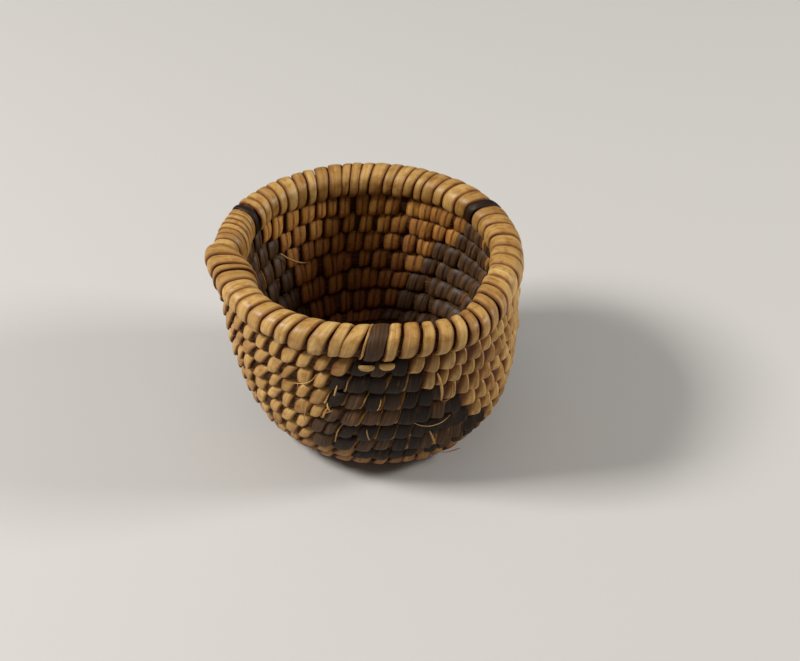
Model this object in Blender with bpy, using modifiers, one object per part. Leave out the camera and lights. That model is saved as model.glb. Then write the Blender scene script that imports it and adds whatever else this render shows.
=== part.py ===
"""A miniature coiled basket, modelled the way such a basket is sewn.

A bundle of stems, the foundation, is coiled from the middle of the base up to the rim. Flat strands
are wound round each coil, stitch beside stitch, and hold it to the coil before it. Light strands make
the ground, and dark ones make three stepped triangles, each ending in one dark stitch on the rim.

A place on the coil is a number of turns from the middle of the base, clockwise as seen from above.
The coil fills the strip of the wall between its own seam and the same seam one turn later, so coils
never run into each other.
"""

import math

import bmesh
import bpy
import numpy as np

mm = 0.001

# The whole basket
mouth_diameter = 25.0 * mm
overall_height = 16.5 * mm
flat_base_radius = 5.9 * mm
wall_thickness = 1.8 * mm
base_shift = 0.9 * mm  # the base stands this far to +X of the mouth
wall_squareness = 2.5  # exponent of the superellipse that the wall's middle follows

# The coil
turns_in_base = 4
rim_coil_height = 2.5 * mm  # less than its width, because it sits in the groove of the row below
rim_coil_width = 2.7 * mm
knot_radius = 0.9 * mm
first_turn = 0.15
step_up_share = 0.08  # the part of a turn in which a coil climbs onto the one before
tail_share = 0.75  # the part of that climb that the rim's tapered tail runs along
tail_drop_share = 0.15  # how far the tail's top drops behind the blunt end, in rim coil heights
blunt_end_share = 0.02  # the part of a turn in which it drops
coil_end_azimuth = math.radians(180)

# Where the mouth is out of round: its right front corner stands out, and just before the coil's end the
# rim is thicker inside
corner_azimuth = math.radians(307)
corner_spread = math.radians(18)
corner_depth = 1.2 * mm
corner_reach = 6.0 * mm
swell_share = 0.55
swell_lead_share = 0.04  # the part of a turn by which it comes before the end
swell_spread_share = 0.04

# The sewing strands
stitch_width = 1.23 * mm
strand_thickness = 0.15 * mm
rim_strand_thickness = 0.25 * mm
fewest_stitches_in_turn = 18
stitches_in_rim = 57
rim_cover_share = 0.84  # how much of its pitch a rim stitch covers
stitch_lean_share = 0.45  # how far a wall stitch runs on from its top to either lower end, in stitch widths
groove_share = 0.75  # depth kept between two stitches, as a share of the coil's half width

# Clearances
seam_gap = 0.08 * mm
core_clearance = 0.1 * mm
merge_distance = 0.001 * mm

# The dark figures: where their ticks on the rim are, and how far they reach to the tick's right and
# left, seen from outside, in turns, row by row from the rim
figure_azimuths = {"left": math.radians(151.6), "right": math.radians(31), "front": math.radians(275)}
figure_right_shares = (0.025, 0.042, 0.067, 0.080, 0.100, 0.123, 0.130)
figure_left_shares = (0.036, 0.056, 0.061, 0.072, 0.083, 0.086, 0.050)
side_before_figure = {"left": "left", "right": "back", "front": "right"}

# Fineness of the faceted surfaces
profile_steps = 400
core_points_in_turn = 24
core_bevel_resolution = 1
rim_sides = 8
knot_steps = 20

rows_in_wall = len(figure_right_shares)
turns_below_rim = turns_in_base + 1 + rows_in_wall  # one turn makes the base's edge
rim_radius = (mouth_diameter - rim_coil_width) / 2
rim_middle_height = overall_height - rim_coil_height / 2


def smooth_step(value):
    """0 below 0, 1 above 1, and an S curve between."""
    value = np.clip(value, 0, 1)
    return value * value * (3 - 2 * value)


def wall_middle():
    """The middle of the wall in section: flat base, superellipse, then straight up through the rim."""
    angle = np.linspace(0, math.pi / 2, profile_steps)
    power = 2 / wall_squareness
    drop = rim_middle_height - wall_thickness / 2
    radius = flat_base_radius + (rim_radius - flat_base_radius) * np.sin(angle) ** power
    height = rim_middle_height - drop * np.abs(np.cos(angle)) ** power
    radius = np.concatenate(([0], radius, [rim_radius]))
    height = np.concatenate(([wall_thickness / 2], height, [rim_middle_height + rim_coil_height]))
    distance = np.concatenate(([0], np.cumsum(np.hypot(np.diff(radius), np.diff(height)))))
    slope = np.unwrap(np.arctan2(np.gradient(height, distance), np.gradient(radius, distance)))
    return distance, radius, height, slope


distance_table, radius_table, height_table, slope_table = wall_middle()
rim_middle_distance = distance_table[-1] - rim_coil_height
rim_seam = rim_middle_distance - rim_coil_height / 2
coil_pitch = rim_seam / turns_below_rim


def seam(turn):
    """Distance along the wall's middle, from the base's centre, of the seam inside the coil at this turn.

    In the base the seam is an even spiral. Higher up it turns little by little into level rows that
    climb only in the step-up, so the rim ends level. Above the rim the seam closes the tapered tail,
    whose top drops a little where the coil ends.
    """
    whole = np.floor(turn)
    climb = smooth_step((turn - whole) / step_up_share)
    settled = np.clip((turn - turns_in_base) / (turns_below_rim - turns_in_base), 0, 1)
    level = whole - 0.5 + climb
    wall_seam = coil_pitch * (turn + (level - turn) * settled - 0.5)
    past_end = turn - (turns_below_rim + 2)
    drop = smooth_step(past_end / blunt_end_share) - smooth_step(past_end / step_up_share)
    tail_top = 1 - tail_drop_share * drop
    top_seam = rim_seam + rim_coil_height * np.where(past_end < 0, climb, tail_top)
    return np.maximum(knot_radius, np.where(turn < turns_below_rim + 1, wall_seam, top_seam))


def half_width(turn):
    """Half the coil's thickness across the wall, which follows its height."""
    height = seam(turn + 1) - seam(turn)
    return np.interp(height, (0, coil_pitch, rim_coil_height), (0, wall_thickness / 2, rim_coil_width / 2))


def fullness(turn):
    """1 where the coil has its full height, and less where it tapers."""
    return np.clip((seam(turn + 1) - seam(turn)) / coil_pitch, 0, 1)


def corner_bulge(azimuth, distance):
    """How far the mouth's right front corner stands out: a smooth bump that fades out below the rim."""
    away = (azimuth - corner_azimuth + math.pi) % (2 * math.pi) - math.pi
    below_rim = rim_middle_distance - distance
    return corner_depth * np.exp(-((away / corner_spread) ** 2)) * smooth_step(1 - below_rim / corner_reach)


def place(turn, distance, offset):
    """The point at a turn's azimuth, a distance along the wall's middle and an offset out of it."""
    azimuth = coil_end_azimuth - 2 * math.pi * turn
    from_end = (turn - (turns_below_rim + 1) + swell_lead_share) / swell_spread_share
    offset = offset * np.where(offset < 0, 1 + swell_share * np.exp(-(from_end**2)), 1)
    slope = np.interp(distance, distance_table, slope_table)
    radius = np.interp(distance, distance_table, radius_table) + offset * np.sin(slope)
    radius = radius + corner_bulge(azimuth, distance)
    height = np.interp(distance, distance_table, height_table) - offset * np.cos(slope)
    height = np.maximum(height, 0)
    shift = base_shift * (1 - height / rim_middle_height)
    return np.stack([radius * np.cos(azimuth) + shift, radius * np.sin(azimuth), height], axis=-1)


def coil_middle(turn):
    return place(turn, (seam(turn) + seam(turn + 1)) / 2, 0)


def turn_length(turn):
    """The length of one turn of the coil here."""
    distance = (seam(turn) + seam(turn + 1)) / 2
    return 2 * math.pi * np.interp(distance, distance_table, radius_table)


def rim_strand_depth(turn):
    """The rim strand's thickness, less where its coil is smaller."""
    return rim_strand_thickness * (seam(turn + 1) - seam(turn)) / rim_coil_height


def core_radius(turn):
    """What the strands leave for the stems inside: less within the wall's stitches than in the rim."""
    full = fullness(turn)
    in_wall = groove_share * half_width(turn) - full * (strand_thickness + core_clearance)
    half_height = (seam(turn + 1) - seam(turn) - seam_gap) / 2
    inside = np.minimum(half_height, half_width(turn)) - rim_strand_depth(turn)
    in_rim = inside * math.cos(math.pi / rim_sides) - full * core_clearance
    return in_wall + (in_rim - in_wall) * smooth_step((turn - turns_below_rim) / step_up_share)


def clear_scene():
    for old in list(bpy.data.objects):
        bpy.data.objects.remove(old)


def material(name, colour, roughness):
    made = bpy.data.materials.new(name)
    made.use_nodes = True
    shader = made.node_tree.nodes["Principled BSDF"]
    shader.inputs["Base Color"].default_value = (*colour, 1)
    shader.inputs["Roughness"].default_value = roughness
    shader.inputs["Metallic"].default_value = 0
    return made


def add_object(name, data, finish, basket):
    """Puts a curve or mesh in the basket's collection, under its empty, with its material."""
    made = bpy.data.objects.new(name, data)
    data.materials.append(finish)
    basket["collection"].objects.link(made)
    made.parent = basket["empty"]
    return made


def foundation_coil(start, end, finish, basket):
    """The stem bundle, one unbroken tube from the knot to the tail. Prints its least gap to itself."""
    start = start + core_clearance / turn_length(start)
    end = end - core_clearance / turn_length(end)
    turns = np.linspace(start, end, math.ceil((end - start) * core_points_in_turn) + 1)
    points, radii = coil_middle(turns), core_radius(turns)
    curve = bpy.data.curves.new("foundation_coil", "CURVE")
    curve.dimensions = "3D"
    curve.bevel_depth = rim_coil_height / 2
    curve.bevel_resolution = core_bevel_resolution
    curve.use_fill_caps = True
    spline = curve.splines.new("POLY")
    spline.points.add(len(turns) - 1)
    for point, where, radius in zip(spline.points, points, radii):
        point.co = (*where, 1)
        point.radius = radius / curve.bevel_depth
    add_object("foundation_coil", curve, finish, basket)

    between = np.linalg.norm(points[:, None] - points[None], axis=2) - radii[:, None] - radii[None]
    least = between[np.abs(turns[:, None] - turns[None]) > 0.5].min()
    print(f"least gap of the foundation to itself: {least / mm:.2f} mm")


def loft(sections):
    """Faces that skin a row of closed sections with the same number of points, ends left open."""
    count, points = sections.shape[:2]
    row, corner = np.meshgrid(np.arange(count - 1), np.arange(points), indexing="ij")
    follow = (corner + 1) % points
    here, there = row * points, (row + 1) * points
    return np.stack([here + corner, here + follow, there + follow, there + corner], axis=-1).reshape(-1, 4)


def mesh_object(name, bm, finish, basket):
    bmesh.ops.recalc_face_normals(bm, faces=bm.faces[:])
    mesh = bpy.data.meshes.new(name)
    bm.to_mesh(mesh)
    bm.free()
    return add_object(name, mesh, finish, basket)


def sleeve_section(turn, inset, flat_below):
    """Four corners of a wall coil's section: outside top and bottom, inside bottom and top.

    A stitch advances all the way round its loop, so its end inside is behind its top and its end outside
    is ahead of it.
    """
    lean = stitch_lean_share * stitch_width / turn_length(turn)
    outside = 1 if flat_below else groove_share

    def edge(where, at_top, side):
        shrink = inset * fullness(where)
        top, bottom = seam(where + 1) - seam_gap / 2 - shrink, seam(where) + seam_gap / 2 + shrink
        return place(where, top if at_top else bottom, side * half_width(where) - math.copysign(1, side) * shrink)

    corners = [
        edge(turn, True, outside),
        edge(turn + lean, False, outside),
        edge(turn - lean, False, -groove_share),
        edge(turn, True, -groove_share),
    ]
    return np.stack(corners, axis=1)


def sewn_strand(name, start, end, finish, basket, flat_below=False):
    """A strand wound round a wall coil with its stitches edge to edge: a sleeve with a bead for each."""
    middle = (start + end) / 2
    gap = seam_gap / 2
    start = start + gap / turn_length(start)
    end = end - gap / turn_length(end)
    stitches_in_turn = max(turn_length(middle) / stitch_width, fewest_stitches_in_turn)
    stitches = max(1, round((end - start) * stitches_in_turn))
    turns = np.linspace(start, end, stitches + 1)
    outer = sleeve_section(turns, 0, flat_below)
    bore = sleeve_section(turns, strand_thickness, flat_below)
    corners = outer.shape[1]

    bm = bmesh.new()
    verts = [bm.verts.new(point) for point in np.concatenate([outer, bore]).reshape(-1, 3)]
    outer_count = len(verts) // 2
    faces = [bm.faces.new([verts[i] for i in quad]) for quad in loft(outer)]
    for quad in loft(bore):
        bm.faces.new([verts[outer_count + i] for i in reversed(quad)])
    for ring in (0, outer_count - corners):
        for corner in range(corners):
            here, beside = ring + corner, ring + (corner + 1) % corners
            bm.faces.new([verts[i] for i in (here, beside, outer_count + beside, outer_count + here)])
    bmesh.ops.recalc_face_normals(bm, faces=bm.faces[:])
    beaded_sides = (2,) if flat_below else (0, 2)
    for index, face in enumerate(faces):
        if index % corners in beaded_sides:
            turn = turns[index // corners]
            rise = (1 - groove_share) * half_width(turn)
            bmesh.ops.poke(bm, faces=[face], offset=rise)
    return mesh_object(name, bm, finish, basket)


def wound_strand(name, start, end, finish, basket):
    """The rim's strand: a flat band wound round the thick coil, with a little space between stitches.

    It is a helix: each stitch starts below, rises inside, crosses the top, goes down outside, and is one
    stitch further on when it comes below again.
    """
    stitches = max(1, round((end - start) * stitches_in_rim))
    pitch = (end - start) / stitches
    half_band = rim_cover_share * pitch / 2
    loops = np.arange(stitches * rim_sides) / rim_sides
    around = -math.pi / 2 - 2 * math.pi * loops
    middle = start + pitch * loops

    def band_edge(turn, inset):
        half_height = (seam(turn + 1) - seam(turn) - seam_gap) / 2 - inset * rim_strand_depth(turn)
        across = half_width(turn) - inset * rim_strand_depth(turn)
        centre = (seam(turn) + seam(turn + 1)) / 2
        return place(turn, centre + half_height * np.sin(around), across * np.cos(around))

    edges = [(-1, 0), (1, 0), (1, 1), (-1, 1)]
    sections = np.stack([band_edge(middle + side * half_band, inset) for side, inset in edges], axis=1)
    bm = bmesh.new()
    verts = [bm.verts.new(point) for point in sections.reshape(-1, 3)]
    for quad in loft(sections):
        bm.faces.new([verts[i] for i in quad])
    for ring in (0, len(verts) - len(edges)):
        bm.faces.new(verts[ring : ring + len(edges)])
    return mesh_object(name, bm, finish, basket)


def start_knot(finish, basket):
    """The knot in the middle of the base that the first coil is sewn round: a small turned button."""
    edge = knot_radius - seam_gap
    top = groove_share * wall_thickness
    outline = [(0, top), (edge * 2 / 3, top), (edge, top / 2), (edge * 2 / 3, 0), (0, 0)]
    mesh = bpy.data.meshes.new("start_knot")
    points = [(radius, 0, height) for radius, height in outline]
    mesh.from_pydata(points, [(i, i + 1) for i in range(len(points) - 1)], [])
    knot = add_object("start_knot", mesh, finish, basket)
    knot.location.x = base_shift
    turned = knot.modifiers.new("turned", "SCREW")
    turned.steps = turned.render_steps = knot_steps
    turned.use_merge_vertices = True
    turned.merge_threshold = merge_distance


def figure_turns():
    """The dark figures and how far round a turn their ticks lie, in the order that the coil meets them."""
    full = 2 * math.pi
    shares = {name: (coil_end_azimuth - azimuth) / full % 1 for name, azimuth in figure_azimuths.items()}
    return sorted(shares.items(), key=lambda item: item[1])


def sew_walls(light, dark, basket):
    """The rows from the base's edge to the rim, a dark strand in every figure and light ones between."""
    done = turns_in_base
    light_name = "base_edge_strand"
    for row in range(rows_in_wall, 0, -1):
        for name, share in figure_turns():
            tick = turns_below_rim - row + share
            start = tick - figure_right_shares[row - 1]
            end = tick + figure_left_shares[row - 1]
            light_name = light_name or f"light_strand_row_{row}_{side_before_figure[name]}"
            sewn_strand(light_name, done, start, light, basket)
            sewn_strand(f"dark_strand_row_{row}_{name}", start, end, dark, basket)
            done, light_name = end, None
    sewn_strand("light_strand_row_1_end", done, turns_below_rim, light, basket)


def bind_rim(end, light, dark, basket):
    """The rim's wound strands, with one dark stitch above each figure."""
    half_stitch = 0.5 / stitches_in_rim
    done = turns_below_rim + half_stitch
    for name, share in figure_turns():
        tick = turns_below_rim + share
        wound_strand(f"rim_strand_{side_before_figure[name]}", done, tick - half_stitch, light, basket)
        wound_strand(f"rim_dark_stitch_{name}", tick - half_stitch, tick + half_stitch, dark, basket)
        done = tick + half_stitch
    wound_strand("rim_finishing_strand", done, end, light, basket)


def build():
    clear_scene()
    collection = bpy.data.collections.new("miniature_basket")
    bpy.context.scene.collection.children.link(collection)
    empty = bpy.data.objects.new("basket", None)
    collection.objects.link(empty)
    basket = {"collection": collection, "empty": empty}

    stems = material("grass_stems", (0.36, 0.22, 0.08), 0.8)
    light = material("light_splint", (0.55, 0.36, 0.15), 0.5)
    dark = material("dark_splint", (0.055, 0.038, 0.03), 0.55)

    tail_end = turns_below_rim + 1 + tail_share * step_up_share
    foundation_coil(first_turn, tail_end, stems, basket)
    start_knot(light, basket)
    for turn in range(turns_in_base):
        begin = max(turn, first_turn)
        sewn_strand(f"base_strand_{turn + 1}", begin, turn + 1, light, basket, flat_below=True)
    sew_walls(light, dark, basket)
    bind_rim(tail_end, light, dark, basket)


build()
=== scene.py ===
# %% [markdown]
# # A miniature coiled basket
#
# A coiled basket has two kinds of part. A bundle of grass stems, the foundation, spirals from the middle
# of the base up to the rim. Flat splints are sewn round it, each stitch passing over the coil and through
# the one before. On this basket, 25 mm across, a stitch is a little over a millimetre wide. Light splints
# make the ground and dark ones make three stepped figures.
#
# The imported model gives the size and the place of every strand. Each of its solids is a plain sleeve, so
# here each one is replaced by its real stitches, which are worked out with numpy from one law of the coil.

# %% Load the frame
import math

import bpy
import numpy as np
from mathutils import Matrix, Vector


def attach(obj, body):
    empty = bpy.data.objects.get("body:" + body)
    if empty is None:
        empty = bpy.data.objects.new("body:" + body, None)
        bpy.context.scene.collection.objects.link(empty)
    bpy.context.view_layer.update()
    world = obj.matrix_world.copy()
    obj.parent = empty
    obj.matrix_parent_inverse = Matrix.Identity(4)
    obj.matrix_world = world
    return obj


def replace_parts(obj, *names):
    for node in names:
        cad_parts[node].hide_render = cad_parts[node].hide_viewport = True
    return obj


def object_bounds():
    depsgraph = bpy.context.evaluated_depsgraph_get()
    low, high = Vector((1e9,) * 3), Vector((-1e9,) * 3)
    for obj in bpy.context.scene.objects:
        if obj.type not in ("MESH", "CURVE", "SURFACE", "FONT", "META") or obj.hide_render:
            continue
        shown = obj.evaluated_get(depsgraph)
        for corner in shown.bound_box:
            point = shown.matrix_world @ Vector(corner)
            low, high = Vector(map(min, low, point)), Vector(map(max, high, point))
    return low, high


mm = 0.001
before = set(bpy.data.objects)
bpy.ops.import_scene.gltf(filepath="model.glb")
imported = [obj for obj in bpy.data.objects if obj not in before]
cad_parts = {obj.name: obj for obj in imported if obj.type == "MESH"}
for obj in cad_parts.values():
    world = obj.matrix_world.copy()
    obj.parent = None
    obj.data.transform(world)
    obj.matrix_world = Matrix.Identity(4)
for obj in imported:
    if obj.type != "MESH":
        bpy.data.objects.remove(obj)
cad_low, cad_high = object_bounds()
mouth_diameter = cad_high.y - cad_low.y
overall_height = cad_high.z - cad_low.z
random = np.random.default_rng(1898)  # everything that the hand did unevenly
print(f"frame: {len(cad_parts)} nodes")
print(f"basket: {mouth_diameter / mm:.2f} mm across, {overall_height / mm:.2f} mm high")

# %% [markdown]
# ## The wall's shape
#
# Cut through, the wall is a line with some thickness: flat in the base, then a superellipse that turns up,
# then straight to the rim. A superellipse is an ellipse with another exponent than 2, and one exponent
# sets how square the turn is. Any place on the wall is a distance along that line from the base's centre
# and an offset out of it. The basket stands a little askew, so the base is shifted to one side.

# %% The middle of the wall
flat_base_radius = 5.9 * mm
wall_thickness = 1.8 * mm
wall_squareness = 2.5
base_shift = 0.9 * mm
rim_coil_height = 2.5 * mm
rim_coil_width = 2.7 * mm
rim_radius = (mouth_diameter - rim_coil_width) / 2
rim_middle_height = overall_height - rim_coil_height / 2


def wall_middle(steps=400):
    """Distance, radius, height and slope of the wall's middle.

    With a from 0 to a quarter turn, the radius is flat + (rim - flat) sin(a)^(2/p) and the height is
    top - (top - bottom) cos(a)^(2/p), where p is the squareness.
    """
    angle = np.linspace(0, math.pi / 2, steps)
    power = 2 / wall_squareness
    drop = rim_middle_height - wall_thickness / 2
    radius = flat_base_radius + (rim_radius - flat_base_radius) * np.sin(angle) ** power
    height = rim_middle_height - drop * np.abs(np.cos(angle)) ** power
    radius = np.concatenate(([0], radius, [rim_radius]))
    height = np.concatenate(([wall_thickness / 2], height, [rim_middle_height + rim_coil_height]))
    distance = np.concatenate(([0], np.cumsum(np.hypot(np.diff(radius), np.diff(height)))))
    slope = np.unwrap(np.arctan2(np.gradient(height, distance), np.gradient(radius, distance)))
    return distance, radius, height, slope


distance_table, radius_table, height_table, slope_table = wall_middle()
wall_length = distance_table[-1] - rim_coil_height
print(f"wall: {wall_length / mm:.1f} mm from the base's centre to the rim's middle")

# %% [markdown]
# ## The law of the coil
#
# A place on the coil is a number of turns from the start. The seam is the line between one coil and the
# next, as a distance along the wall. In the base it is an even spiral. Higher up the maker kept each row
# level and stepped up at one place, so the seam turns little by little into level rows with a short climb.
# The coil at a turn fills the strip from its own seam to the same seam one turn later. Because every
# stitch and every stem reads this one law, neighbours always fit.
#
# The mouth isn't quite round either: its right front corner stands out, the coil's end makes a lump
# outside, and just before its end the coil is thicker inside.

# %% Seams and coils
turns_in_base = 4
turns_below_rim = 12
first_turn = 0.15
knot_radius = 0.9 * mm
step_up_share = 0.08  # of a turn, in which the coil climbs to its next row
tail_share = 0.75  # of the step up, which the coil's end still covers
blunt_end_share = 0.02  # of a turn, in which the end first drops
tail_drop_share = 0.15  # of the rim coil's height, by which it drops there
coil_end_azimuth = math.radians(180)
bumps = {  # azimuth, spread, depth and reach below the rim
    "corner": (math.radians(307), math.radians(18), 1.2 * mm, 6.0 * mm),
    "lump": (coil_end_azimuth, math.radians(8), 0.45 * mm, 2.5 * mm),
}
swell_share = 0.55
swell_lead_share = 0.04
swell_spread_share = 0.04
hand_wobble = 0.035 * mm  # how unevenly the rows were sewn

rim_seam = distance_table[-1] - rim_coil_height * 3 / 2
coil_pitch = rim_seam / turns_below_rim
tail_end = turns_below_rim + 1 + tail_share * step_up_share


def smooth_step(value):
    """0 below 0, 1 above 1, and an S curve between."""
    value = np.clip(value, 0, 1)
    return value * value * (3 - 2 * value)


def wobble(turn):
    """Three slow waves whose lengths don't repeat from row to row, as a hand's unevenness."""
    angle = 2 * math.pi * turn
    waves = np.sin(3.19 * angle) + 0.7 * np.sin(7.43 * angle + 1) + 0.5 * np.sin(13.7 * angle + 2)
    return hand_wobble * waves


def seam(turn):
    """Distance along the wall of the seam inside the coil at this turn.

    In the base it is pitch (turn - 1/2). Up the wall the turn gives way, little by little, to its whole part
    and a short climb. Past the coil's end the seam above it drops at once and rises along the tail.
    """
    turn = np.asarray(turn, float)
    whole = np.floor(turn)
    climb = smooth_step((turn - whole) / step_up_share)
    settled = np.clip((turn - turns_in_base) / (turns_below_rim - turns_in_base), 0, 1)
    level = whole - 0.5 + climb
    in_wall = coil_pitch * (turn + (level - turn) * settled - 0.5) + wobble(turn)
    past_end = turn - (turns_below_rim + 2)
    drop = smooth_step(past_end / blunt_end_share) - smooth_step(past_end / step_up_share)
    above_rim = rim_seam + rim_coil_height * np.where(past_end < 0, climb, 1 - tail_drop_share * drop)
    return np.maximum(knot_radius, np.where(turn < turns_below_rim + 1, in_wall, above_rim))


def coil_section(turn, coils=1):
    """Middle, half height and half thickness of the coil at this turn, or of it and those that lie on it."""
    low, high = seam(turn), seam(turn + coils)
    thickness = np.interp(high - low, (0, coil_pitch, rim_coil_height), (0, wall_thickness, rim_coil_width))
    return (low + high) / 2, (high - low) / 2, thickness / 2


print(f"coil: {coil_pitch / mm:.2f} mm from row to row, {tail_end - first_turn:.1f} turns in all")


# %% From a place on the coil to a point
def by_azimuth(turn, azimuths, values):
    """A table's value at this turn, where its azimuths go round the basket from 0 to 360 degrees."""
    return np.interp(np.degrees(coil_end_azimuth - 2 * math.pi * turn) % 360, azimuths, values)


def wall_at(distance, offset):
    """Radius and height on the wall: the middle's own, plus offset sin(slope) and less offset cos(slope)."""
    slope = np.interp(distance, distance_table, slope_table)
    radius = np.interp(distance, distance_table, radius_table) + offset * np.sin(slope)
    return radius, np.interp(distance, distance_table, height_table) - offset * np.cos(slope)


def bump(azimuth, distance, middle, spread, depth, reach):
    """A smooth bump on the wall: depth exp(-(angle away / spread)^2), which fades out below the rim."""
    away = (azimuth - middle + math.pi) % (2 * math.pi) - math.pi
    below_rim = rim_seam + rim_coil_height / 2 - distance
    return depth * np.exp(-((away / spread) ** 2)) * smooth_step(1 - below_rim / reach)


def together(*values):
    """Arrays that fit each other, as one array whose last axis has one of each."""
    return np.stack(np.broadcast_arrays(*values), axis=-1)


def place(turn, distance, offset):
    """The point at a turn, a distance along the wall's middle and an offset out of the wall."""
    azimuth = coil_end_azimuth - 2 * math.pi * turn
    from_end = (turn - (turns_below_rim + 1) + swell_lead_share) / swell_spread_share
    offset = offset * np.where(offset < 0, 1 + swell_share * np.exp(-(from_end**2)), 1)
    radius, height = wall_at(distance, offset)
    for shape in bumps.values():
        radius = radius + bump(azimuth, distance, *shape)
    height = np.maximum(height, 0)
    shift = base_shift * (1 - height / rim_middle_height)
    return together(radius * np.cos(azimuth) + shift, radius * np.sin(azimuth), height)


def turn_length(turn):
    """The length of one turn of the coil here: 2 pi times the radius of its middle."""
    return 2 * math.pi * np.interp(coil_section(turn)[0], distance_table, radius_table)


print(f"the rim's turn: {turn_length(turns_below_rim) / mm:.0f} mm long")

# %% [markdown]
# ## Where the stitches lie
#
# The maker sews each stitch beside the last, and looks for the gap above a stitch of the row below, so
# the stitches climb the wall in slanting columns. The rim was bound with wider stitches. On both, their
# width changes slowly round the basket, and a short table gives it by azimuth. So the wall's stitches are
# placed one after another, each drawn towards the stitch below it, and the rim's are spread by a smooth
# density.

# %% Places of the wall's stitches
stitch_width = 1.27 * mm
closeness = (0, 275, 292, 330, 360), (1.0, 1.0, 0.84, 0.86, 1.0)  # closer on the right of the front
fewest_in_turn = 17
column_shift = 0.25 * mm  # a stitch lies this far to the right of the one below it
column_pull_share = 0.55
first_pulled_turn = 1.5
unevenness_share = 0.07
closest_share = 0.72  # two stitches come no nearer than this share of a width
last_gap_share = 0.3  # and the last one leaves this much free before the rim


def wall_stitches():
    """Turns of the wall's stitches, in order."""
    turns = [first_turn]
    while True:
        last = turns[-1]
        length = float(turn_length(last))
        own_width = stitch_width * by_azimuth(last, *closeness)
        step = min(own_width / length, 1 / fewest_in_turn)
        turn = last + step * (1 + unevenness_share * random.normal())
        below = np.asarray(turns) + 1 - column_shift / length
        nearest = below[np.argmin(np.abs(below - turn))]
        if abs(nearest - turn) < step / 2 and turn > first_pulled_turn:
            turn += column_pull_share * (nearest - turn)
        turn = max(turn, last + closest_share * step)
        if turn > turns_below_rim - last_gap_share * step:
            return np.array(turns)
        turns.append(turn)


wall_turns = wall_stitches()
print(f"stitches in the base and wall: {len(wall_turns)}")

# %% Places of the rim's stitches
stitches_in_rim = 57
rim_unevenness_share = 0.13
rim_spreads = (
    (0, 25, 40, 90, 150, 180, 225, 277, 283, 290, 300, 318, 326, 360),
    (1.12, 1.1, 0.95, 0.85, 0.87, 0.94, 1.06, 1.15, 1.12, 1.0, 0.81, 0.81, 1.12, 1.12),
)


def rim_spread(turns):
    """The width of the rim's stitches here against their mean, by azimuth."""
    return by_azimuth(turns, *rim_spreads)


def rim_stitches(start, end):
    """Turns of the rim's stitches between two places, and the room of each in turns.

    The density is summed along the rim, the sum is divided unevenly, and the edges are read as turns.
    """
    grid = np.linspace(start, end, 400)
    density = stitches_in_rim / rim_spread(grid)
    passed = np.concatenate(([0], np.cumsum((density[1:] + density[:-1]) / 2 * np.diff(grid))))
    count = max(1, round(passed[-1]))
    edges = np.concatenate(([0], np.cumsum(1 + rim_unevenness_share * random.normal(size=count))))
    edges = np.interp(edges / edges[-1] * passed[-1], passed, grid)
    return (edges[1:] + edges[:-1]) / 2, np.diff(edges)


print(f"stitches in one turn of the rim: {stitches_in_rim}")

# %% [markdown]
# ## One stitch
#
# A stitch is a flat splint in a closed loop. It comes out of the coil below on the inner side, goes up,
# over the top, down the outer side, and back through the coil below. It advances along the coil all the
# while, which is why it slants. In section the loop is a superellipse, rounder above than below, and its
# lower end bulges over the row below like a shingle. Across, the splint is crowned and narrows where it
# goes through the hole. On the right of the basket the splints dried with their edges turned up, and the
# pocket between the edges has painted shade.
#
# One function works out every stitch of a strand at once: the loop's steps are one array axis and the
# points across the splint another. A stitch has a few dozen faces, and a Subdivision Surface rounds them.

# %% The line of a stitch
loop_end_share = 0.9  # the loop closes inside the coil below, past this part of half a turn
dip_unevenness = 0.1
proud_unevenness = 0.03


def superellipse(angle, power):
    """Across and up on a unit superellipse: sin and cos of the angle from the top, to the power 2/p."""
    sine, cosine = np.sin(angle), np.cos(angle)
    across = np.sign(sine) * np.abs(sine) ** (2 / power)
    up = np.sign(cosine) * np.abs(cosine) ** (2 / power)
    return across, up


def loop_line(turns, shape, vary, coils):
    """The line of each stitch: turn, distance, offset, across, up and the coil's half height, at each step.

    With s from -1 inside to 1 outside, the turn is the stitch's own plus lean (s - centre). The section
    point is the superellipse at angle s times the loop's end, stretched by 1 + rise above and 1 + dip
    below, and pushed out below by the shingle: across (1 - shingle up).
    """
    s = np.linspace(-1, 1, shape["steps"])[None]
    angle = s * loop_end_share * math.pi
    high, low = superellipse(angle, shape["top_corner"]), superellipse(angle, shape["bottom_corner"])
    is_low = np.abs(angle) > math.pi / 2
    across = np.where(is_low, low[0], high[0])
    dip = shape["dip"] + dip_unevenness * vary[:, 0]
    up = np.where(is_low, low[1] * (1 + dip), high[1] * (1 + shape["rise"]))
    proud = (1 + proud_unevenness * vary[:, 1]) * (1 - shape["shingle"] * up)
    run = np.where(s > 0, s - shape["lean_centre"], s * shape["inner_lean"] - shape["lean_centre"])
    lean = shape["lean"] * mm / turn_length(turns)[:, None]
    middle = turns[:, None] + lean * run * (1 + shape["uneven_lean"] * vary[:, 2])
    centre, h, w = coil_section(middle, coils)
    return middle, centre + h * up, w * across * proud, across, up, h


def way_out(distance, offset, rise):
    """The way out of each loop at each step, square to its line: its parts along distance and offset."""
    along_d = np.roll(distance, -1, 1) - np.roll(distance, 1, 1)
    along_o = np.roll(offset, -1, 1) - np.roll(offset, 1, 1)
    along = np.hypot(along_d, along_o)
    out_d, out_o = -along_o / along, along_d / along
    outward = np.sign(out_d * rise + out_o * offset)
    return out_d * outward, out_o * outward


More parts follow.
